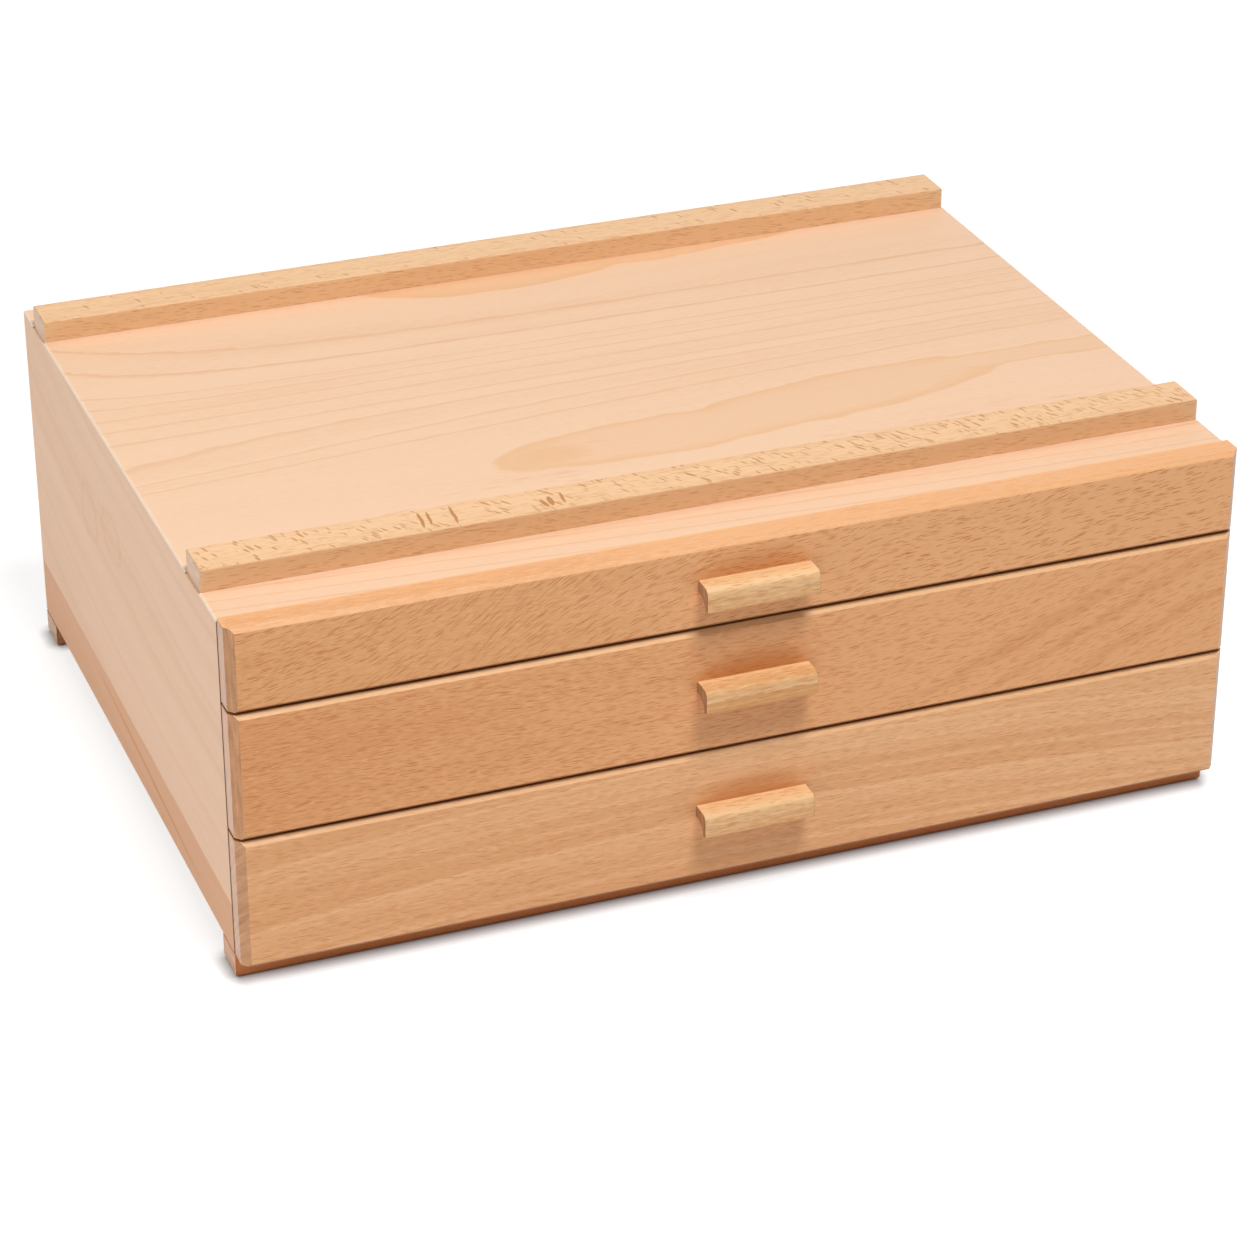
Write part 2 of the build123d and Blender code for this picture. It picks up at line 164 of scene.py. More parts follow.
class OrganizerSettings(bpy.types.PropertyGroup):
    """All settings of the organizer."""

    case: PointerProperty(type=CaseFinish)
    rail: PointerProperty(type=RailFinish)
    front: PointerProperty(type=FrontFinish)
    handle: PointerProperty(type=HandleFinish)
    box: PointerProperty(type=BoxFinish)
    fastener: PointerProperty(type=FastenerFinish)
    stage: PointerProperty(type=StageSettings)


# Node helpers


def feed(socket, value):
    """Link a socket to another, or set its value, with an alpha of one for a colour."""
    if isinstance(value, bpy.types.NodeSocket):
        socket.id_data.links.new(value, socket)
    else:
        socket.default_value = (*value, 1.0) if socket.type == "RGBA" else value


def add_node(tree, kind, feeds=None, **options):
    """Add a node, set its options and feed its inputs by name."""
    node = tree.nodes.new(kind)
    for option, value in options.items():
        setattr(node, option, value)
    for name, value in (feeds or {}).items():
        feed(node.inputs[name], value)
    return node


def calc(operation, *values, kind="ShaderNodeMath"):
    """A math node's result, in the tree of the first value that is a socket."""
    tree = next(value.id_data for value in values if isinstance(value, bpy.types.NodeSocket))
    node = add_node(tree, kind, operation=operation)
    for socket, value in zip(node.inputs, values):
        feed(socket, value)
    return node.outputs[0]


def vector_calc(operation, *values):
    """A vector math node's vector."""
    return calc(operation, *values, kind="ShaderNodeVectorMath")


def minus(first, second):
    """A difference."""
    return calc("SUBTRACT", first, second)


def times(first, second):
    """A product."""
    return calc("MULTIPLY", first, second)


def times_plus(first, second, third):
    """A product with a third value added."""
    return calc("MULTIPLY_ADD", first, second, third)


def split(vector):
    """The X, Y and Z of a vector."""
    return add_node(vector.id_data, "ShaderNodeSeparateXYZ", {"Vector": vector}).outputs


def joined(x, y, z):
    """A vector from its X, Y and Z."""
    return add_node(x.id_data, "ShaderNodeCombineXYZ", {"X": x, "Y": y, "Z": z}).outputs[0]


def ease(value, start, end):
    """A smooth step of a value from start to end."""
    feeds = {"Value": value, "From Min": start, "From Max": end}
    return add_node(value.id_data, "ShaderNodeMapRange", feeds, interpolation_type="SMOOTHSTEP").outputs["Result"]


def noise(point, stretch, detail=2.0):
    """Noise about nothing, from minus a half to a half, with its own scale along each axis."""
    feeds = {"Vector": vector_calc("MULTIPLY", point, stretch), "Scale": 1.0, "Detail": detail}
    return minus(add_node(point.id_data, "ShaderNodeTexNoise", feeds).outputs["Fac"], 0.5)


def blend(factor, first, second):
    """Two colours mixed by a factor."""
    node = add_node(factor.id_data, "ShaderNodeMix", data_type="RGBA")
    factor_socket, first_colour, second_colour, colour_result = 0, 6, 7, 2
    feed(node.inputs[factor_socket], factor)
    feed(node.inputs[first_colour], first)
    feed(node.inputs[second_colour], second)
    return node.outputs[colour_result]


def lay_out(tree):
    """Place the nodes in columns, from the first to the last that is fed."""
    column_width, row_height = 200, 220
    depth = {node: 0 for node in tree.nodes}
    for _ in tree.nodes:
        for link in tree.links:
            depth[link.to_node] = max(depth[link.to_node], depth[link.from_node] + 1)
    rows = {}
    for node in tree.nodes:
        column = depth[node]
        node.location = (column * column_width, -rows.get(column, 0) * row_height)
        rows[column] = rows.get(column, 0) + 1


# Shared effects


def add_sockets(tree, inputs, outputs):
    """Give a shared effect its sockets; returns what comes in and where the results go."""
    for label, default in inputs.items():
        kind = "NodeSocketVector" if isinstance(default, tuple) else "NodeSocketFloat"
        tree.interface.new_socket(label, in_out="INPUT", socket_type=kind).default_value = default
    for label in outputs:
        tree.interface.new_socket(label, in_out="OUTPUT", socket_type="NodeSocketFloat")
    return add_node(tree, "NodeGroupInput").outputs, add_node(tree, "NodeGroupOutput").inputs


def growth_rings(tree):
    """Rings by their distance from the pith: a dark line at each ring's end, and a slow tone across the rings."""
    inputs = {
        "Point": (0.0, 0.0, 0.0), "Radius": 0.0, "Ring Width": 0.013, "Waver": 0.004, "Sharp": 0.5, "Uneven": 1.3,
    }
    fine_waver, line_place, fainter = 0.0012, 0.95, 0.46
    given, result = add_sockets(tree, inputs, ("Line", "Tone"))
    broad = noise(given["Point"], (7.0, 20.0, 20.0))
    fine = noise(given["Point"], (60.0, 400.0, 400.0))
    radius = times_plus(broad, given["Waver"], given["Radius"])
    radius = times_plus(fine, fine_waver, radius)
    phase = calc("DIVIDE", radius, given["Ring Width"])
    spacing = add_node(tree, "ShaderNodeTexNoise", {"Scale": 0.55, "Detail": 1.0, "W": phase}, noise_dimensions="1D")
    place = calc("FRACT", times_plus(spacing.outputs["Fac"], given["Uneven"], phase))
    rise = ease(place, given["Sharp"], line_place)
    fall = ease(place, 1.0, line_place)
    tone = add_node(tree, "ShaderNodeTexNoise", {"Scale": 0.8, "Detail": 2.0, "W": phase}, noise_dimensions="1D")
    tone = ease(tone.outputs["Fac"], 0.3, 0.7)
    less = times(minus(tone, 1.0), fainter)
    strength = times_plus(less, given["Uneven"], 1.0)
    feed(result["Line"], times(times(rise, fall), strength))
    feed(result["Tone"], tone)


def grain_streaks(tree):
    """Long fibres, short silky ones and broad streaks along X, each about nothing."""
    given, result = add_sockets(tree, {"Point": (0.0, 0.0, 0.0)}, ("Fibre", "Silk", "Streak"))
    feed(result["Fibre"], noise(given["Point"], (26.0, 1300.0, 1300.0)))
    feed(result["Silk"], noise(given["Point"], (220.0, 1100.0, 1100.0)))
    feed(result["Streak"], noise(given["Point"], (7.0, 90.0, 90.0), 3.0))


def pore_dashes(tree):
    """Short dashes scattered along a grain that slants, and swirls where a branch was near."""
    inputs = {
        "Point": (0.0, 0.0, 0.0),
        "Length": 0.004, "Thickness": 0.0005, "Slant": 0.0, "Swirl": 0.0, "Swirl Place": 0.0,
        "Swirl Reach": 0.05, "Drift": 0.004, "Amount": 0.3,
    }
    given, result = add_sockets(tree, inputs, ("Dash",))
    point = split(given["Point"])
    drift = times(noise(given["Point"], (17.0, 17.0, 17.0), 1.0), given["Drift"])
    across = calc("ADD", times_plus(point["X"], given["Slant"], point["Y"]), drift)
    past = calc("DIVIDE", minus(point["X"], given["Swirl Place"]), given["Swirl Reach"])
    across = times_plus(calc("TANH", past), given["Swirl"], across)
    row = calc("DIVIDE", across, given["Thickness"])
    layer = calc("DIVIDE", point["Z"], given["Thickness"])
    row_shift, layer_shift = 0.62, 0.37
    shifted = times_plus(layer, layer_shift, times(row, row_shift))
    along = calc("ADD", calc("DIVIDE", point["X"], given["Length"]), shifted)
    feeds = {"Vector": joined(along, row, layer), "Scale": 1.0, "Randomness": 1.0}
    cells = add_node(tree, "ShaderNodeTexVoronoi", feeds)
    chance = add_node(tree, "ShaderNodeSeparateColor", {"Color": cells.outputs["Color"]}).outputs
    kept = calc("LESS_THAN", chance["Red"], given["Amount"])
    least_size, size_range, core, least_depth = 0.36, 0.3, 0.55, 0.5
    size = times_plus(chance["Green"], size_range, least_size)
    dash = ease(cells.outputs["Distance"], size, times(size, core))
    depth = times_plus(chance["Blue"], 1.0 - least_depth, least_depth)
    feed(result["Dash"], times(dash, times(kept, depth)))


def figure_oval(tree):
    """How far out a point lies in a ragged oval on a board's face: nothing at its middle, one at its edge."""
    inputs = {
        "Point": (0.0, 0.0, 0.0),
        "Centre": (0.0, 0.0, 0.0),
        "Half Length": 0.1, "Half Width": 0.02, "Slant": 0.0, "Lean": 0.0, "Ragged": 0.004,
    }
    given, result = add_sockets(tree, inputs, ("Reach",))
    point = split(vector_calc("SUBTRACT", given["Point"], given["Centre"]))
    across = minus(point["Y"], times(point["X"], given["Slant"]))
    waver = times(noise(given["Point"], (40.0, 160.0, 160.0), 4.0), given["Ragged"])
    across = calc("DIVIDE", calc("ADD", across, waver), given["Half Width"])
    along = minus(point["X"], times(point["Y"], given["Lean"]))
    along = calc("DIVIDE", calc("ADD", waver, along), given["Half Length"])
    feed(result["Reach"], times_plus(across, across, times(along, along)))


def eased_edges(tree):
    """The edges of a board, from its lowest and highest corners."""
    inputs = {"Point": (0.0, 0.0, 0.0), "Low": (0.0, 0.0, 0.0), "High": (1.0, 1.0, 1.0), "Width": 0.001}
    given, result = add_sockets(tree, inputs, ("Edge",))
    from_low = vector_calc("SUBTRACT", given["Point"], given["Low"])
    from_high = vector_calc("SUBTRACT", given["High"], given["Point"])
    depth = split(vector_calc("MINIMUM", from_low, from_high))
    least = calc("MINIMUM", depth["X"], depth["Y"])
    most = calc("MAXIMUM", depth["X"], depth["Y"])
    second = calc("MAXIMUM", least, calc("MINIMUM", most, depth["Z"]))
    waver = noise(given["Point"], (60.0, 60.0, 60.0), 3.0)
    width = times(given["Width"], calc("ADD", waver, 1.0))
    feed(result["Edge"], ease(second, width, 0.0))


def facing(tree):
    """Where a surface faces along a direction, either way."""
    inputs = {"Direction": (1.0, 0.0, 0.0), "Start": 0.45, "Full": 0.75}
    given, result = add_sockets(tree, inputs, ("Mask",))
    normal = add_node(tree, "ShaderNodeTexCoord").outputs["Normal"]
    turn = add_node(tree, "ShaderNodeVectorMath", operation="DOT_PRODUCT")
    feed(turn.inputs[0], normal)
    feed(turn.inputs[1], given["Direction"])
    turned = calc("ABSOLUTE", turn.outputs["Value"])
    feed(result["Mask"], ease(turned, given["Start"], given["Full"]))


def seam_shade(tree):
    """Painted shade on the edges of a drawer front inside the seams, and a painted highlight on its upward chamfer.
    """
    inputs = {"Depth": 0.0, "Under": 0.6, "Over": 0.5}
    given, result = add_sockets(tree, inputs, ("Mask", "Chamfer"))
    normal = add_node(tree, "ShaderNodeTexCoord").outputs["Normal"]
    # Up is one on a flat upper face, and about 0.7 on a chamfer
    up = split(normal)["Z"]
    under = times(ease(up, -0.3, -0.6), given["Under"])
    over = times(ease(up, 0.85, 0.95), ease(given["Depth"], 0.001, 0.0025))
    feed(result["Mask"], times_plus(over, given["Over"], under))
    feed(result["Chamfer"], times(ease(up, 0.4, 0.6), ease(up, 0.95, 0.85)))


def ply_layers(tree):
    """The layers of plywood on its edges: every second one shows end grain."""
    inputs = {"Height": 0.0, "Ply": 0.001}
    given, result = add_sockets(tree, inputs, ("Layer", "Glue"))
    half = calc("FRACT", calc("DIVIDE", given["Height"], times(given["Ply"], 2.0)))
    feed(result["Layer"], ease(half, 0.48, 0.52))
    seam = calc("ABSOLUTE", minus(half, 0.5))
    feed(result["Glue"], ease(seam, 0.06, 0.0))


def effect(tree, build, feeds):
    """Place a shared effect in a material, and build it at its first use; returns its outputs."""
    name = build.__name__.replace("_", " ").title()
    group = bpy.data.node_groups.get(name)
    if not group:
        group = bpy.data.node_groups.new(name, "ShaderNodeTree")
        build(group)
        lay_out(group)
    return add_node(tree, "ShaderNodeGroup", feeds, node_tree=group).outputs


# Wood


@dataclass
class Oval:
    """An oval on a board's face: its middle along and across the board, its half sizes, its slope and its lean."""

    along: float
    across: float
    half_length: float
    half_width: float
    slant: float = 0.0
    lean: float = 0.0


@dataclass
class Patch:
    """A patch of figure made of ovals: how strongly its body and its rim show, and what its edge is like."""

    ovals: tuple
    body: float = 0.6
    rim: float = 0.3
    ragged: float = 0.004
    soft: float = 0.12


@dataclass
class Cut:
    """How one board was cut, in metres, with its axes named along the grain, across it and through the board."""

    axes: str = "XYZ"
    # Growth: the place along the trunk, the pith, and how rings and tones show
    shift: float = 0.0
    pith_across: float = 0.0
    pith_below: float = 0.09
    taper: float = 0.0
    ring_width: float = 0.013
    waver: float = 0.004
    sharp: float = 0.5
    uneven: float = 1.3
    line: float = 0.3
    tone: float = 0.6
    # Fade deepens the wood towards one end of the board; on the drawer fronts this is a painted falloff of light
    fade: float = 0.0
    # A paler upper face, which is painted light, one with fewer pores, and the fibres
    flat: float = 0.0
    calm: float = 0.0
    streak: float = 1.0
    fibre: float = 0.2
    silk: float = 0.2
    # Pores and their swirl
    pore_length: float = 0.004
    pore_width: float = 0.0005
    pore_slant: float = 0.0
    pore_drift: float = 0.004
    pore_amount: float = 0.2
    pore_strength: float = 0.5
    swirl: float = 0.0
    swirl_place: float = 0.0
    swirl_reach: float = 0.05
    # End grain; eased edges, partly a painted highlight; painted shade in the seams and along a side board's front
    # edge; a painted highlight on upward chamfers; and figure
    end_shade: float = 0.65
    end_slant: float = 0.0
    end_width: float = 0.001
    edge: float = 0.5
    edge_width: float = 0.0016
    under: float = 0.0
    over: float = 0.0
    chamfer: float = 0.0
    seam: float = 0.0
    patches: tuple = ()


@dataclass
class Tones:
    """The colours of one board: pale wood, deep wood, pores, figure, eased edges and end grain."""

    pale: tuple
    deep: tuple
    pore: tuple
    figure: tuple
    edge: tuple
    end: tuple


def plain_tones(finish):
    """The tones of a finish without a figure of its own."""
    return Tones(finish.pale, finish.deep, finish.pore, finish.deep, finish.edge, finish.end)


def darker(tone, amount):
    """A tone with its light cut by an amount."""
    return [channel * (1.0 - amount) for channel in tone]


def board_point(tree, node, axes):
    """A place on the piece, and the same in the board's own space about its middle, with X along the grain."""
    low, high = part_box(node)
    place = add_node(tree, "ShaderNodeTexCoord").outputs["Object"]
    given = split(vector_calc("SUBTRACT", place, (low + high) / 2))
    return place, joined(*(given[axis] for axis in axes))


def start_material(name):
    """An empty node material."""
    material = bpy.data.materials.new(name)
    material.use_nodes = True
    material.node_tree.nodes.clear()
    return material, material.node_tree


def end_material(tree, feeds):
    """The surface shader of a material and its output."""
    shader = add_node(tree, "ShaderNodeBsdfPrincipled", feeds)
    add_node(tree, "ShaderNodeOutputMaterial", {"Surface": shader.outputs[0]})
    lay_out(tree)


def finish_piece(node, material):
    """Give a piece its finish."""
    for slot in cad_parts[node].material_slots:
        slot.material = material


def grain_relief(height, strength=0.25, distance=0.0002):
    """The normal of a surface with a slight relief."""
    feeds = {"Strength": strength, "Distance": distance, "Height": height}
    return add_node(height.id_data, "ShaderNodeBump", feeds).outputs["Normal"]


def direction(axis):
    """The unit vector along a named axis."""
    return tuple(1.0 if name == axis else 0.0 for name in "XYZ")


def brighten(tone, light, saturation=1.0):
    """A colour with its light and its saturation scaled."""
    feeds = {"Color": tone, "Value": light, "Saturation": saturation}
    return add_node(light.id_data, "ShaderNodeHueSaturation", feeds).outputs["Color"]


def ring_radius(point, cut):
    """The distance from a pith that runs along the grain, below the board and aside from its middle."""
    given = split(point)
    across = minus(given["Y"], cut.pith_across)
    below = calc("ADD", given["Z"], cut.pith_below)
    radius = calc("SQRT", times_plus(across, across, times(below, below)))
    return times_plus(given["X"], cut.taper, radius), 1.0


def top_growth(point, cut):
    """The rings of the top board: they spread to the left, and each line has a place of its own."""
    given = split(point)
    rear_field, front_field, front_edge = (0.015, 0.11), (0.012, -0.03), (-0.104, -0.12)
    rear_reach, rear_rise, front_rise, front_bend, edge_turn = 0.07, 0.036, 0.024, 1.5, 2.0
    from_left = calc("DIVIDE", calc("ADD", given["X"], half_case_width), -rear_reach)
    rear_spread = times(calc("EXPONENT", from_left), ease(given["Y"], *rear_field))
    from_right = calc("DIVIDE", minus(half_case_width, given["X"]), half_case_width * 2)
    turned = times(ease(given["Y"], *front_edge), edge_turn)
    front_share = minus(ease(given["Y"], *front_field), turned)
    front_spread = times(calc("POWER", from_right, front_bend), front_share)
    field = times_plus(rear_spread, -rear_rise, given["Y"])
    field = times_plus(front_spread, front_rise, field)

    front_strip = [(-0.167 + 0.0073 * line, line + 1.0) for line in range(7)]
    clear_field = [(-0.025, 7.05)]
    places = (-0.0145, -0.0069, 0.0017, 0.0077, 0.0186, 0.0273, 0.0346, 0.04, 0.0527, 0.0679)
    lines = front_strip + clear_field + [(place, line + 8.0) for line, place in enumerate(places)]
    curve_scale, curve_start, most_lines = 3.0, 0.6, 20.0
    on_curve = times_plus(field, curve_scale, curve_start)
    count = add_node(point.id_data, "ShaderNodeFloatCurve", {"Value": on_curve})
    curve = count.mapping.curves[0]
    for place, line in lines:
        curve.points.new(place * curve_scale + curve_start, line / most_lines).handle_type = "VECTOR"
    count.mapping.update()
    radius = times(count.outputs[0], most_lines * cut.ring_width)

    strong_lines, past_lines, stronger = (0.042, 0.047), (0.074, 0.07), 0.3
    strong = times_plus(ease(field, *strong_lines), stronger, 1.0)
    return radius, times(strong, ease(field, *past_lines))


def side_growth(point, cut):
    """The rings of a side board: they rise towards the back."""
    given = split(point)
    board_back, bend_reach, bend_rise = 0.1445, 0.08, 0.027
    from_back = calc("DIVIDE", minus(given["X"], board_back), bend_reach)
    rise = times(calc("EXPONENT", from_back), -bend_rise)
    return calc("ADD", given["Y"], rise), 1.0


def arched_growth(point, cut):
    """Rings that a board cuts nearly flat, in long shallow arches."""
    given = split(point)
    along = times(given["X"], given["X"])
    return times_plus(along, cut.taper, given["Y"]), 1.0


def figure_strength(point, patches):
    """How strongly the patches of figure show."""
    total, outside, rim = 0.0, 10.0, (0.35, 0.9)
    for patch in patches:
        reach = outside
        for oval in patch.ovals:
            feeds = {
                "Point": point, "Centre": (oval.along, oval.across, 0.0), "Ragged": patch.ragged,
                "Half Length": oval.half_length, "Half Width": oval.half_width,
                "Slant": oval.slant, "Lean": oval.lean,
            }
            reach = calc("MINIMUM", effect(point.id_data, figure_oval, feeds)["Reach"], reach)
        inside = ease(reach, 1.0, 1.0 - patch.soft)
        depth = times_plus(ease(reach, *rim), patch.rim, patch.body)
        total = calc("MAXIMUM", times(inside, depth), total)
    return total


def upper_face(tree):
    """Where a surface faces up or down."""
    return effect(tree, facing, {"Direction": direction("Z")})["Mask"]


def ray_flecks(point, amount, length, commas):
    """Ray flecks on the upper face of a cleat: short marks across the grain, and longer commas."""
    tree, given = point.id_data, split(point)
    thickness, strength = length * 0.36, 0.95
    feeds = {
        "Point": joined(given["Y"], given["X"], given["Z"]), "Length": length, "Thickness": thickness,
        "Slant": 0.3, "Drift": 0.02, "Amount": amount,
    }
    marks = times(effect(tree, pore_dashes, feeds)["Dash"], strength)
    marks = calc("MAXIMUM", marks, figure_strength(point, commas))
    return times(marks, upper_face(tree))


def pore_marks(point, cut):
    """The pores of a board, which fade on an upper face that is calm."""
    tree = point.id_data
    feeds = {
        "Point": point, "Length": cut.pore_length, "Thickness": cut.pore_width, "Slant": cut.pore_slant,
        "Swirl": cut.swirl, "Swirl Place": cut.swirl_place + cut.shift, "Swirl Reach": cut.swirl_reach,
        "Drift": cut.pore_drift, "Amount": cut.pore_amount,
    }
    marks = times(effect(tree, pore_dashes, feeds)["Dash"], cut.pore_strength)
    if cut.calm:
        marks = times(marks, times_plus(upper_face(tree), -cut.calm, 1.0))
    return marks


def end_wood(given, square, tones, cut):
    """End grain in stripes of growth, paler and greyer where the end is cut square."""
    contrast, square_light, square_grey = 1.8, 0.17, 0.2
    layer = times_plus(given["Y"], cut.end_slant, given["Z"])
    stripes = joined(given["X"], given["Y"], layer)
    vessels = noise(stripes, (30.0, 90.0, 1.0 / cut.end_width), 3.0)
    light = times_plus(square, square_light, times_plus(vessels, contrast, 1.0))
    return brighten(tones.end, light, times_plus(square, -square_grey, 1.0))


def seam_edges(wood, given, size, tones, cut):
    """Wood with painted shade at its seams: between the drawer fronts, and at the front of a side board; and a
    painted highlight on the upward chamfers of the fronts.
    """
    if cut.under or cut.over:
        depth = calc("ADD", given["Z"], size.y / 2)
        seams = effect(wood.id_data, seam_shade, {"Depth": depth, "Under": cut.under, "Over": cut.over})
        # A painted highlight on the upward chamfers of a drawer front
        wood = blend(times(seams["Chamfer"], cut.chamfer), wood, tones.edge)
        # Painted shade on the faces inside the seams
        wood = blend(seams["Mask"], wood, darker(tones.pore, 0.7))
    # A painted shade line along the front edge of a side board, where the gap to the drawer fronts lies in shadow
    if cut.seam:
        outer, inner = 0.0006, 0.0012
        half = size["XYZ".index(cut.axes[0])] / 2
        shade = times(ease(given["X"], inner - half, outer - half), cut.seam)
        wood = blend(shade, wood, darker(tones.figure, 0.8))
    return wood


def beech(node, tones, cut, roughness, growth=ring_radius, flecks=None, gloss=0.2):
    """Finish a piece in oiled beech, as its board was cut."""
    material, tree = start_material(f"{node}_beech")
    place, point = board_point(tree, node, cut.axes)
    grown = vector_calc("ADD", point, (cut.shift, 0.0, 0.0))
    low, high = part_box(node)
    given = split(point)

    radius, shown = growth(point, cut)
    ring_feeds = {
        "Point": grown, "Radius": radius, "Ring Width": cut.ring_width,
        "Waver": cut.waver, "Sharp": cut.sharp, "Uneven": cut.uneven,
    }
    rings = effect(tree, growth_rings, ring_feeds)
    streaks = effect(tree, grain_streaks, {"Point": grown})
    along = direction(cut.axes[0])
    ends = effect(tree, facing, {"Direction": along})["Mask"]
    square = effect(tree, facing, {"Direction": along, "Start": 0.85, "Full": 0.95})["Mask"]
    edge_feeds = {"Point": place, "Low": low, "High": high, "Width": cut.edge_width}
    edges = effect(tree, eased_edges, edge_feeds)["Edge"]

    grain_depth, grain_light = 2.0, 0.08
    # Fade deepens the wood along the board; on the drawer fronts it is a painted falloff of light, deeper at the
    # left end
    fading = times(given["X"], -cut.fade / half_case_width)
    deepening = times_plus(rings["Tone"], cut.tone, fading)
    deepening = times_plus(streaks["Streak"], cut.streak, deepening)
    grain = times_plus(streaks["Silk"], cut.silk, times(streaks["Fibre"], cut.fibre))
    deepening = times_plus(grain, -grain_depth, deepening)
    # A paler upper face: painted light on the faces that look up
    if cut.flat:
        deepening = times_plus(upper_face(tree), -cut.flat, deepening)
    wood = blend(deepening, tones.pale, tones.deep)
    line = times(times(rings["Line"], shown), cut.line)
    wood = blend(line, wood, tones.deep)
    if cut.patches:
        wood = blend(figure_strength(point, cut.patches), wood, tones.figure)
    wood = brighten(wood, times_plus(grain, grain_light, 1.0))
    marks = pore_marks(grown, cut)
    if flecks:
        marks = calc("MAXIMUM", marks, flecks(point))
    wood = blend(marks, wood, tones.pore)
    # Eased edges take the edge tone: paler sanded wood, and in part a painted highlight along the arrises
    wood = blend(times(edges, cut.edge), wood, tones.edge)
    end_share = times(ends, cut.end_shade)
    wood = blend(end_share, wood, end_wood(given, square, tones, cut))
    wood = seam_edges(wood, given, high - low, tones, cut)

    fibre_rough, edge_rough, pore_dip, silk_rise = 0.25, 0.35, 0.06, 0.2
    rough = times_plus(streaks["Fibre"], fibre_rough, roughness)
    rough = times_plus(edges, edge_rough, rough)
    silk = times(streaks["Silk"], silk_rise)
    surface = {
        "Base Color": wood,
        "Roughness": rough,
        "Normal": grain_relief(times_plus(marks, -pore_dip, silk)),
        "Specular IOR Level": gloss,
    }
    end_material(tree, surface)
    finish_piece(node, material)


def plywood(node, axes, finish):
    """Finish a panel as thin plywood, with its layers on its edges."""
    material, tree = start_material(f"{node}_plywood")
    point = board_point(tree, node, axes)[1]
    low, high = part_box(node)
    cut = Cut(axes, pith_across=0.03, pith_below=0.06, taper=0.22)
    radius = ring_radius(point, cut)[0]
    ring_feeds = {"Point": point, "Radius": radius, "Ring Width": 0.02, "Waver": 0.03}
    rings = effect(tree, growth_rings, ring_feeds)
    streaks = effect(tree, grain_streaks, {"Point": point})
    pore_feeds = {"Point": point, "Length": 0.003, "Thickness": 0.0005, "Drift": 0.01, "Amount": 0.25}
    dash = effect(tree, pore_dashes, pore_feeds)["Dash"]
    tone_share, line_share, pore_share, fibre_light, fibre_rise = 0.5, 0.35, 0.3, 0.2, 0.4
    growth = times_plus(rings["Tone"], tone_share, times(rings["Line"], line_share))
    growth = calc("ADD", growth, streaks["Streak"])
    face = blend(growth, finish.plywood_pale, finish.plywood_deep)
    face = brighten(face, times_plus(streaks["Fibre"], fibre_light, 1.0))
    face = blend(times(dash, pore_share), face, finish.pore)

    thickness = "XYZ".index(axes[2])
    height = calc("ADD", split(point)["Z"], (high[thickness] - low[thickness]) / 2)
    layers = effect(tree, ply_layers, {"Height": height, "Ply": finish.ply})
    edge = blend(layers["Layer"], finish.plywood_pale, darker(finish.plywood_deep, 0.15))
    edge = blend(layers["Glue"], edge, darker(finish.plywood_deep, 0.45))
    flat = effect(tree, facing, {"Direction": direction(axes[2])})["Mask"]
    wood = blend(flat, edge, face)
    fibre_rough, sanded = 0.3, 0.55
    rough = times_plus(streaks["Fibre"], fibre_rough, sanded)
    relief = minus(times(streaks["Fibre"], fibre_rise), dash)
    end_material(tree, {"Base Color": wood, "Roughness": rough, "Normal": grain_relief(relief)})
    finish_piece(node, material)


def bright_steel(finish):
    """The plated steel of the screws and brads."""
    material, tree = start_material("plated_steel")
    place = add_node(tree, "ShaderNodeTexCoord").outputs["Object"]
    spots = noise(place, (900.0, 900.0, 900.0), 4.0)
    dull = ease(spots, 0.02, 0.2)
    metal = blend(dull, finish.steel, finish.tarnish)
    dull_rough, bright_rough = 0.25, 0.28
    rough = times_plus(dull, dull_rough, bright_rough)
    dents = grain_relief(spots, strength=0.1, distance=0.0001)
    end_material(tree, {"Base Color": metal, "Metallic": 1.0, "Roughness": rough, "Normal": dents})
    return material


# Pieces


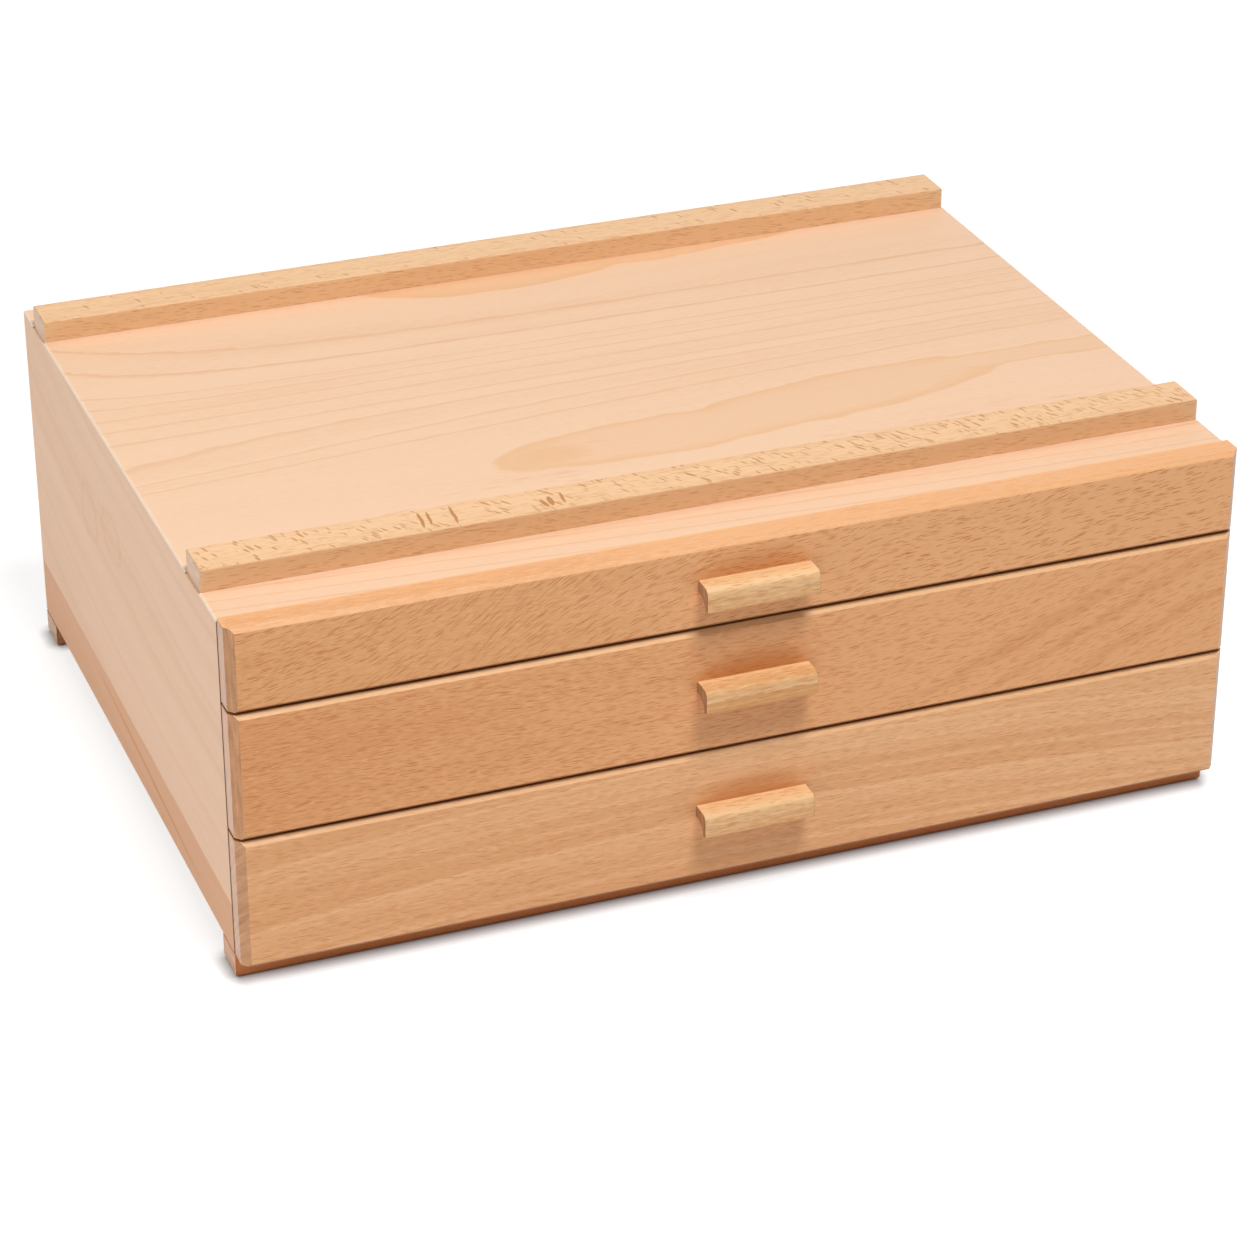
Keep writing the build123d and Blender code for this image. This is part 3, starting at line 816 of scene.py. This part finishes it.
class ORGANIZER_OT_case_boards(bpy.types.Operator):
    """Finish the top, bottom and side boards of the case"""

    bl_idname = "organizer.case_boards"
    bl_label = "Case Boards"

    def execute(self, context):
        case = context.scene.organizer.case
        tongue = Patch(
            (
                Oval(0.0, -0.0595, 0.07, 0.0175, 0.03),
                Oval(0.075, -0.051, 0.08, 0.019, 0.1),
                Oval(0.165, -0.041, 0.085, 0.0075),
            ),
            body=0.35, rim=0.5, ragged=0.008,
        )
        tip = Patch((Oval(-0.046, -0.0612, 0.026, 0.0125, 0.03),), body=0.85, rim=0.0, ragged=0.008, soft=0.9)
        rear_streak = Patch(
            (Oval(-0.005, 0.1125, 0.062, 0.0195), Oval(0.065, 0.1135, 0.075, 0.0125, 0.04)),
            body=0.6, rim=0.3, ragged=0.008,
        )
        tones = Tones(case.top_pale, case.top_deep, case.pore, case.top_figure, case.edge, case.end)
        top = Cut(
            "XYZ", ring_width=case.ring_width, waver=0.001, sharp=0.78, uneven=0.0, line=0.75, tone=0.2, streak=0.7,
            fibre=0.25, silk=0.4, pore_width=0.0004, pore_amount=0.12, pore_strength=0.12, edge=0.6,
            edge_width=0.001, patches=(tongue, tip, rear_streak),
        )
        beech("top_board", tones, top, case.roughness, top_growth)

        tones = Tones(case.side_pale, case.side_deep, case.pore, case.side_figure, case.edge, case.end)
        bottom = Cut("XYZ", shift=3.1, taper=0.1, ring_width=case.ring_width, waver=0.012, line=0.4, tone=0.5)
        beech("bottom_board", tones, bottom, case.roughness)
        heart_band = Patch((Oval(0.0, -0.0725, 3.0, 0.0265, 0.011),), body=0.6, rim=0.0, ragged=0.0016, soft=0.06)
        heart_line = Patch((Oval(-0.022, -0.0568, 0.12, 0.0018, 0.085),), body=1.0, rim=0.0, ragged=0.002, soft=0.9)
        eyes = Patch(
            (Oval(0.012, 0.0288, 0.017, 0.0115), Oval(0.048, 0.0225, 0.014, 0.014)),
            body=0.03, rim=0.28, ragged=0.009, soft=0.4,
        )
        for shift, name in enumerate(side_names):
            node = f"{name}_side_board"
            # Seam paints a shade line along the front edge of each side board, and fade deepens the wood towards the
            # back
            cut = Cut(
                "YZX", shift=1.7 * shift, ring_width=0.012, waver=0.012, sharp=0.4, uneven=2.2, line=0.6,
                tone=0.5, fade=-0.25, streak=0.8, fibre=0.2, silk=0.4, pore_width=0.0004, pore_amount=0.1,
                pore_strength=0.12, end_shade=0.9, edge=0.9, edge_width=0.001, seam=0.9,
                patches=(heart_band, heart_line, eyes),
            )
            beech(node, tones, cut, case.roughness, side_growth, gloss=0.12)
        return {"FINISHED"}


class ORGANIZER_OT_cleats(bpy.types.Operator):
    """Finish the two cleats on the top"""

    bl_idname = "organizer.cleats"
    bl_label = "Cleats"

    def execute(self, context):
        rail = context.scene.organizer.rail
        tones = plain_tones(rail)
        long_commas = Patch(
            (
                Oval(-0.1136, 0.0, 0.0008, 0.0072, lean=0.1),
                Oval(-0.1104, 0.0005, 0.0007, 0.006, lean=0.12),
                Oval(-0.1011, 0.0, 0.0008, 0.008, lean=0.08),
                Oval(-0.067, -0.003, 0.001, 0.004, lean=-0.15),
                Oval(-0.0642, -0.002, 0.0013, 0.0045, lean=0.1),
                Oval(-0.0592, -0.001, 0.0007, 0.005, lean=0.1),
            ),
            body=0.85, rim=0.0, ragged=0.0012, soft=0.5,
        )
        for node, amount, commas in (("front_cleat", 0.3, (long_commas,)), ("rear_cleat", 0.06, ())):
            cut = Cut(
                "XYZ", shift=amount * 10, pith_across=0.06, pith_below=0.02, ring_width=0.006, line=0.2, tone=0.4,
                pore_length=0.0048, pore_amount=0.42, pore_strength=0.5, edge=0.2, edge_width=0.0012, silk=0.5,
            )
            flecks = partial(ray_flecks, amount=amount, length=rail.fleck_length, commas=commas)
            beech(node, tones, cut, rail.roughness, flecks=flecks)
        return {"FINISHED"}


class ORGANIZER_OT_foot_rails(bpy.types.Operator):
    """Finish the two rails under the case"""

    bl_idname = "organizer.foot_rails"
    bl_label = "Foot Rails"

    def execute(self, context):
        rail = context.scene.organizer.rail
        # The darker rail tones are painted shade, deepest on the front rail, and the deep tone on their eased edges
        # is painted shade too
        for shift, (node, name) in enumerate((("front_foot_rail", "foot"), ("rear_foot_rail", "rear"))):
            pale, deep = getattr(rail, f"{name}_pale"), getattr(rail, f"{name}_deep")
            tones = Tones(pale, deep, rail.pore, deep, deep, rail.end)
            cut = Cut("XYZ", shift=2.3 + shift, ring_width=0.007, line=0.25, pore_amount=0.4, pore_strength=0.4)
            beech(node, tones, cut, rail.roughness)
        return {"FINISHED"}


class ORGANIZER_OT_drawer_fronts(bpy.types.Operator):
    """Finish the three drawer fronts, each from a board of its own"""

    bl_idname = "organizer.drawer_fronts"
    bl_label = "Drawer Fronts"

    def execute(self, context):
        front = context.scene.organizer.front
        bands = Patch(
            (
                Oval(0.118, 0.0, 0.08, 0.0042, 0.40),
                Oval(0.148, 0.0, 0.075, 0.0036, 0.45),
                Oval(0.172, -0.007, 0.06, 0.004, 0.40),
            ),
            body=0.3, rim=0.0, ragged=0.012, soft=0.95,
        )
        # Under and over paint shade inside the seams, chamfer paints a highlight on the upward chamfers, and fade
        # paints a falloff of light along each front
        cuts = {
            "upper": Cut(
                "XZY", shift=0.4, pith_across=-0.01, pith_below=0.03, taper=0.05, ring_width=0.009, waver=0.03,
                line=0.12, tone=0.35, fade=0.45, streak=1.3, silk=1.1, edge=0.3, under=0.65,
                pore_length=front.pore_length, pore_width=0.00034, pore_slant=-0.15, pore_drift=0.012,
                pore_amount=0.36, pore_strength=0.95, calm=0.85, swirl=-0.026, swirl_place=-0.1, swirl_reach=0.038,
            ),
            "middle": Cut(
                "XZY", shift=1.3, pith_across=0.005, pith_below=0.03, taper=0.03, ring_width=0.011, waver=0.03,
                line=0.1, tone=0.35, fade=0.65, streak=1.3, silk=1.1, edge=0.3, under=0.65, over=0.5, chamfer=0.5,
                pore_length=front.pore_length, pore_width=0.0003, pore_drift=0.005, pore_amount=0.42,
                pore_strength=0.75, swirl=-0.024, swirl_place=0.15, swirl_reach=0.08, patches=(bands,),
            ),
            "lower": Cut(
                "XZY", shift=2.2, taper=0.3, ring_width=0.0052, waver=0.005, sharp=0.25, line=0.9, tone=0.9,
                fade=0.3, streak=0.9, silk=0.8, edge=0.3, under=0.65, over=0.5, chamfer=0.28, pore_length=0.0045,
                pore_width=0.0004, pore_drift=0.003, pore_amount=0.4, pore_strength=0.6, end_slant=0.9,
                end_width=0.0022,
            ),
        }
        # Above each pull, a painted shade oval darkens the front, where the pull keeps the light from below off it
        end_depths, pull_shade_depths = (0.13, 0.0, 0.08), (0.55, 0.95, 0.7)
        for name, end_depth, pull_shade_depth in zip(drawer_names, end_depths, pull_shade_depths):
            node = f"{name}_drawer_front"
            low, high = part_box(node)
            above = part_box(f"{name}_drawer_handle")[1].z - (low.z + high.z) / 2
            oval = Oval(0.0, above, half_length=0.028, half_width=0.0125)
            # Painted shade above the pull
            oiled = Patch((oval,), body=pull_shade_depth, rim=0.0, ragged=0.003, soft=0.97)
            cuts[name].patches += (oiled,)
            pale, deep = getattr(front, f"{name}_pale"), getattr(front, f"{name}_deep")
            tones = Tones(pale, deep, front.pore, front.figure, front.edge, darker(front.end, end_depth))
            growth = arched_growth if name == "lower" else ring_radius
            beech(node, tones, cuts[name], front.roughness, growth)
        return {"FINISHED"}


class ORGANIZER_OT_handles(bpy.types.Operator):
    """Finish the three pulls"""

    bl_idname = "organizer.handles"
    bl_label = "Pulls"

    def execute(self, context):
        handle = context.scene.organizer.handle
        tones = plain_tones(handle)
        # The upper and lower pulls get paler upper faces: painted light
        tone_depths, painted_top_light = (0.75, 1.6, 0.65), (0.35, 0.0, 0.35)
        for shift, (name, depth, flat) in enumerate(zip(drawer_names, tone_depths, painted_top_light)):
            node = f"{name}_drawer_handle"
            cut = Cut(
                "XZY", shift=0.7 * shift, pith_across=0.02, pith_below=0.01, ring_width=0.0045, waver=0.004,
                line=0.25, tone=depth, flat=flat, silk=0.8, pore_length=0.0045, pore_width=0.0006, pore_slant=-0.08,
                pore_amount=0.4, pore_strength=0.6, end_shade=0.85, edge=0.1, edge_width=0.001,
            )
            beech(node, tones, cut, handle.roughness)
        return {"FINISHED"}


class ORGANIZER_OT_drawer_boxes(bpy.types.Operator):
    """Finish the sides and backs of the drawers"""

    bl_idname = "organizer.drawer_boxes"
    bl_label = "Drawer Boxes"

    def execute(self, context):
        box = context.scene.organizer.box
        tones = plain_tones(box)
        for shift, name in enumerate(drawer_names):
            for piece, axes in (("left_side", "YZX"), ("right_side", "YZX"), ("back", "XZY")):
                node = f"{name}_drawer_{piece}"
                cut = Cut(
                    axes, shift=len(piece) + 0.9 * shift, pith_across=0.01, taper=0.03, ring_width=0.009, waver=0.01,
                    line=0.25, tone=0.5, pore_amount=0.3, pore_strength=0.3,
                )
                beech(node, tones, cut, box.roughness)
        return {"FINISHED"}


class ORGANIZER_OT_runners(bpy.types.Operator):
    """Finish the runners in the case and the splines in its mitres"""

    bl_idname = "organizer.runners"
    bl_label = "Runners and Splines"

    def execute(self, context):
        box = context.scene.organizer.box
        tones = plain_tones(box)
        nodes = [f"{name}_{side}_runner" for name in drawer_names for side in side_names] + ["mitre_splines"]
        for shift, node in enumerate(nodes):
            cut = Cut("YZX", shift=0.6 * shift, ring_width=0.005, line=0.25, pore_amount=0.3, pore_strength=0.3)
            beech(node, tones, cut, box.runner_roughness)
        return {"FINISHED"}


class ORGANIZER_OT_plywood(bpy.types.Operator):
    """Finish the back of the case and the bottoms of the drawers"""

    bl_idname = "organizer.plywood"
    bl_label = "Plywood"

    def execute(self, context):
        box = context.scene.organizer.box
        plywood("back_panel", "XZY", box)
        for name in drawer_names:
            plywood(f"{name}_drawer_bottom", "XYZ", box)
        return {"FINISHED"}


class ORGANIZER_OT_fasteners(bpy.types.Operator):
    """Finish the screws and brads"""

    bl_idname = "organizer.fasteners"
    bl_label = "Screws and Brads"

    def execute(self, context):
        steel = bright_steel(context.scene.organizer.fastener)
        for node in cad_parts:
            if node.endswith(("_screws", "_brads")):
                finish_piece(node, steel)
        return {"FINISHED"}


# Stage


def seen_itself(tree):
    """One for a ray that shows the surface itself, and nothing for a ray that only gathers its light."""
    path = add_node(tree, "ShaderNodeLightPath").outputs
    seen = calc("MAXIMUM", path["Is Camera Ray"], path["Is Glossy Ray"])
    return calc("MAXIMUM", seen, path["Is Transmission Ray"])


def white_floor(tone, contact_reach):
    """The floor: a plain tone for the light that it throws, and white where it is seen, with its shadows kept."""
    material, tree = start_material("studio_floor")
    mottle_depth, shown_tone, white_strength, contact_depth = 0.02, 0.5, 0.69, 2.2
    place = add_node(tree, "ShaderNodeTexCoord").outputs["Object"]
    mottle = times_plus(noise(place, (14.0, 14.0, 14.0), 4.0), mottle_depth, 1.0)
    plain = brighten([tone] * 3, mottle)
    thrown = add_node(tree, "ShaderNodeBsdfDiffuse", {"Color": plain})
    shown = add_node(tree, "ShaderNodeBsdfDiffuse", {"Color": [shown_tone] * 3})
    open_air = add_node(tree, "ShaderNodeAmbientOcclusion", {"Distance": contact_reach}).outputs["AO"]
    strength = times(calc("POWER", open_air, contact_depth), white_strength)
    glow = add_node(tree, "ShaderNodeEmission", {"Color": white, "Strength": strength})
    lifted = add_node(tree, "ShaderNodeAddShader")
    for socket, layer in zip(lifted.inputs, (shown, glow)):
        feed(socket, layer.outputs[0])
    mixed = add_node(tree, "ShaderNodeMixShader", {"Fac": seen_itself(tree)})
    feed(mixed.inputs[1], thrown.outputs[0])
    feed(mixed.inputs[2], lifted.outputs[0])
    add_node(tree, "ShaderNodeOutputMaterial", {"Surface": mixed.outputs[0]})
    lay_out(tree)
    return material


def white_sky(strength):
    """Even light from all around, seen as white."""
    world = bpy.data.worlds.new("studio_sky")
    world.use_nodes = True
    tree = world.node_tree
    tree.nodes.clear()
    light = times_plus(seen_itself(tree), 1.0 - strength, strength)
    sky = add_node(tree, "ShaderNodeBackground", {"Color": white, "Strength": light})
    add_node(tree, "ShaderNodeOutputWorld", {"Surface": sky.outputs[0]})
    lay_out(tree)
    bpy.context.scene.world = world


def aim(place, target):
    """The matrix of a lamp or a camera at a place that looks at a target."""
    turn = (target - place).to_track_quat("-Z", "Y")
    return Matrix.Translation(place) @ turn.to_matrix().to_4x4()


def softbox(name, place, target, size, power):
    """A square area light."""
    lamp = bpy.data.lights.new(name, "AREA")
    lamp.size = size
    lamp.energy = power
    lamp_object = bpy.data.objects.new(name, lamp)
    lamp_object.matrix_world = aim(Vector(place), Vector(target))
    bpy.context.scene.collection.objects.link(lamp_object)


class ORGANIZER_OT_stage(bpy.types.Operator):
    """Set the floor, the light and the camera"""

    bl_idname = "organizer.stage"
    bl_label = "Stage"

    def execute(self, context):
        stage = context.scene.organizer.stage
        reach = 6.0
        mesh = bpy.data.meshes.new("floor")
        corners = [(-reach, -reach, 0.0), (reach, -reach, 0.0), (reach, reach, 0.0), (-reach, reach, 0.0)]
        mesh.from_pydata(corners, [], [(0, 1, 2, 3)])
        mesh.materials.append(white_floor(stage.floor_tone, stage.contact_reach))
        floor = bpy.data.objects.new("floor", mesh)
        context.scene.collection.objects.link(floor)

        white_sky(stage.sky)
        middle = (0.0, 0.0, 0.08)
        softbox("key_light", (0.13, -1.05, 2.3), middle, 0.7, stage.key_power)
        softbox("rear_light", (-0.2, 0.9, 2.3), middle, 0.9, stage.rear_power)
        softbox("side_light", (-1.5, -0.1, 0.95), middle, 1.2, stage.side_power)

        lens = bpy.data.cameras.new("photo_camera")
        lens.lens = stage.focal_length
        camera = bpy.data.objects.new("photo_camera", lens)
        place, target = Vector((-0.50126, -1.3137, 0.79944)), Vector((-0.02578, -0.08234, 0.08694))
        camera.matrix_world = aim(place, target)
        context.scene.collection.objects.link(camera)
        context.scene.camera = camera
        context.scene.view_settings.view_transform = "Standard"
        return {"FINISHED"}


class ORGANIZER_PT_sidebar(bpy.types.Panel):
    """The organizer's finishes and stage"""

    bl_idname = "ORGANIZER_PT_sidebar"
    bl_label = "Beech Organizer"
    bl_space_type = "VIEW_3D"
    bl_region_type = "UI"
    bl_category = "Organizer"

    def draw(self, context):
        settings = context.scene.organizer
        for name in settings.bl_rna.properties.keys():
            group = getattr(settings, name)
            if isinstance(group, bpy.types.PropertyGroup):
                box = self.layout.box()
                box.label(text=name.capitalize())
                for setting in group.__annotations__:
                    box.prop(group, setting)
        for operator in operators:
            self.layout.operator(operator.bl_idname)


property_groups = (
    CaseFinish, RailFinish, FrontFinish, HandleFinish, BoxFinish, FastenerFinish, StageSettings, OrganizerSettings,
)
operators = (
    ORGANIZER_OT_case_boards,
    ORGANIZER_OT_cleats,
    ORGANIZER_OT_foot_rails,
    ORGANIZER_OT_drawer_fronts,
    ORGANIZER_OT_handles,
    ORGANIZER_OT_drawer_boxes,
    ORGANIZER_OT_runners,
    ORGANIZER_OT_plywood,
    ORGANIZER_OT_fasteners,
    ORGANIZER_OT_stage,
)
classes = (*property_groups, *operators, ORGANIZER_PT_sidebar)


def register():
    for cls in classes:
        bpy.utils.register_class(cls)
    bpy.types.Scene.organizer = PointerProperty(type=OrganizerSettings)


def unregister():
    del bpy.types.Scene.organizer
    for cls in reversed(classes):
        bpy.utils.unregister_class(cls)


def main():
    """Finish every piece and set the stage."""
    register()
    bpy.ops.organizer.case_boards()
    bpy.ops.organizer.cleats()
    bpy.ops.organizer.foot_rails()
    bpy.ops.organizer.drawer_fronts()
    bpy.ops.organizer.handles()
    bpy.ops.organizer.drawer_boxes()
    bpy.ops.organizer.runners()
    bpy.ops.organizer.plywood()
    bpy.ops.organizer.fasteners()
    bpy.ops.organizer.stage()


if __name__ == "__main__":
    main()
